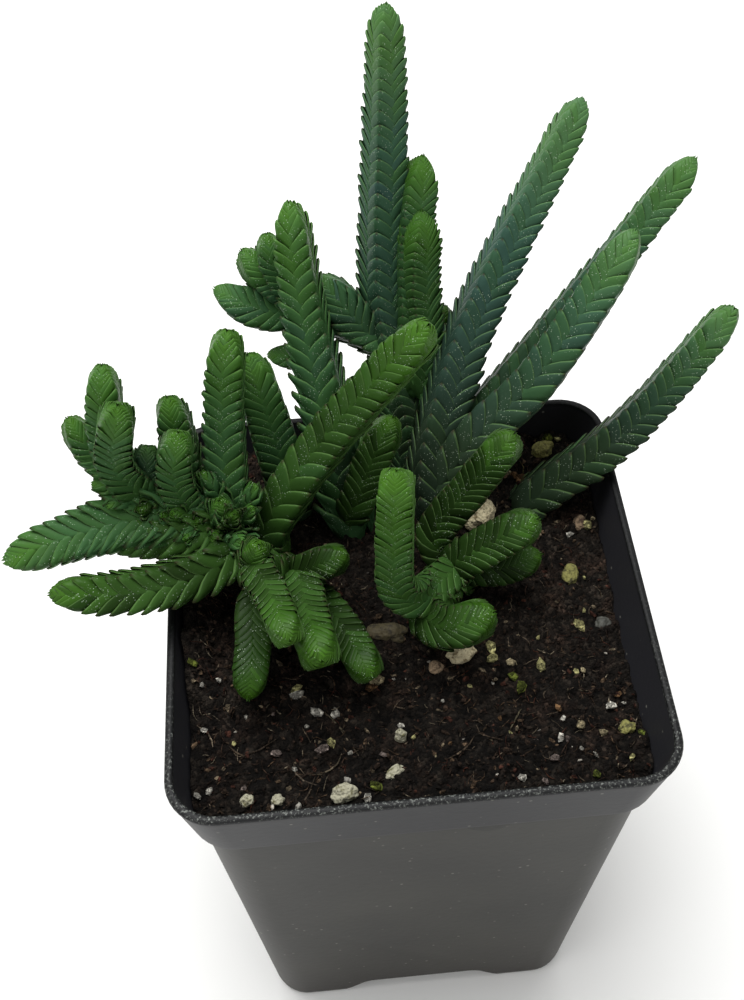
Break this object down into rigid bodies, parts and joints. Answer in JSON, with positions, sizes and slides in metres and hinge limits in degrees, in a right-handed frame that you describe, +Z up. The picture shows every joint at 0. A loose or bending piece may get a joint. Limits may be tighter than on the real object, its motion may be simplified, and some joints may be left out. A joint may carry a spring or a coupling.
{
  "type": "potted watch chain crassula",
  "caption": "Clump of four-ranked scaly green stems branching from dark gritty peat in a deep tapered square nursery pot with a rim band and notched base.",
  "frame": {"origin": "centre of the pot's underside, on the surface it stands on", "axes": "+Z up, -Y towards the viewer of the picture, +X to the viewer's right"},
  "size_m": [0.1082, 0.0901, 0.1542],
  "materials": {
    "pot_plastic": "satin dark grey, dusty",
    "peat": "matte, crumbly and fibrous",
    "leaf": "deep green, blue-green in shade, brighter at the tips",
    "pumice": "pitted, matte",
    "stone_cream": "smooth, matte",
    "grit_brown": "matte",
    "grit_yellow": "matte",
    "perlite": "porous, matte",
    "pebble_grey": "smooth, matte"
  },
  "bodies": {
    "root": {"pot": "pot_plastic", "potting_soil": "peat", "spray_back": "leaf", "spray_right": "leaf", "stem_low_right": "leaf", "spray_middle": "leaf", "stem_long_front": "leaf", "stem_inner_left": "leaf", "spray_left": "leaf", "spray_front_left": "leaf", "spray_front": "leaf", "pumice_lump_back": "pumice", "pumice_lump_front": "pumice", "stone_cream": "stone_cream", "grit_brown": "grit_brown", "grit_tan_wall": "grit_brown", "grit_yellow_right": "grit_yellow", "grit_yellow_back": "grit_yellow", "grit_yellow_corner": "grit_yellow", "perlite_front_edge": "perlite", "perlite_left_corner": "perlite", "perlite_left_edge": "perlite", "perlite_long": "perlite", "perlite_upright": "perlite", "pebble_grey": "pebble_grey"}
  },
  "joints": []
}
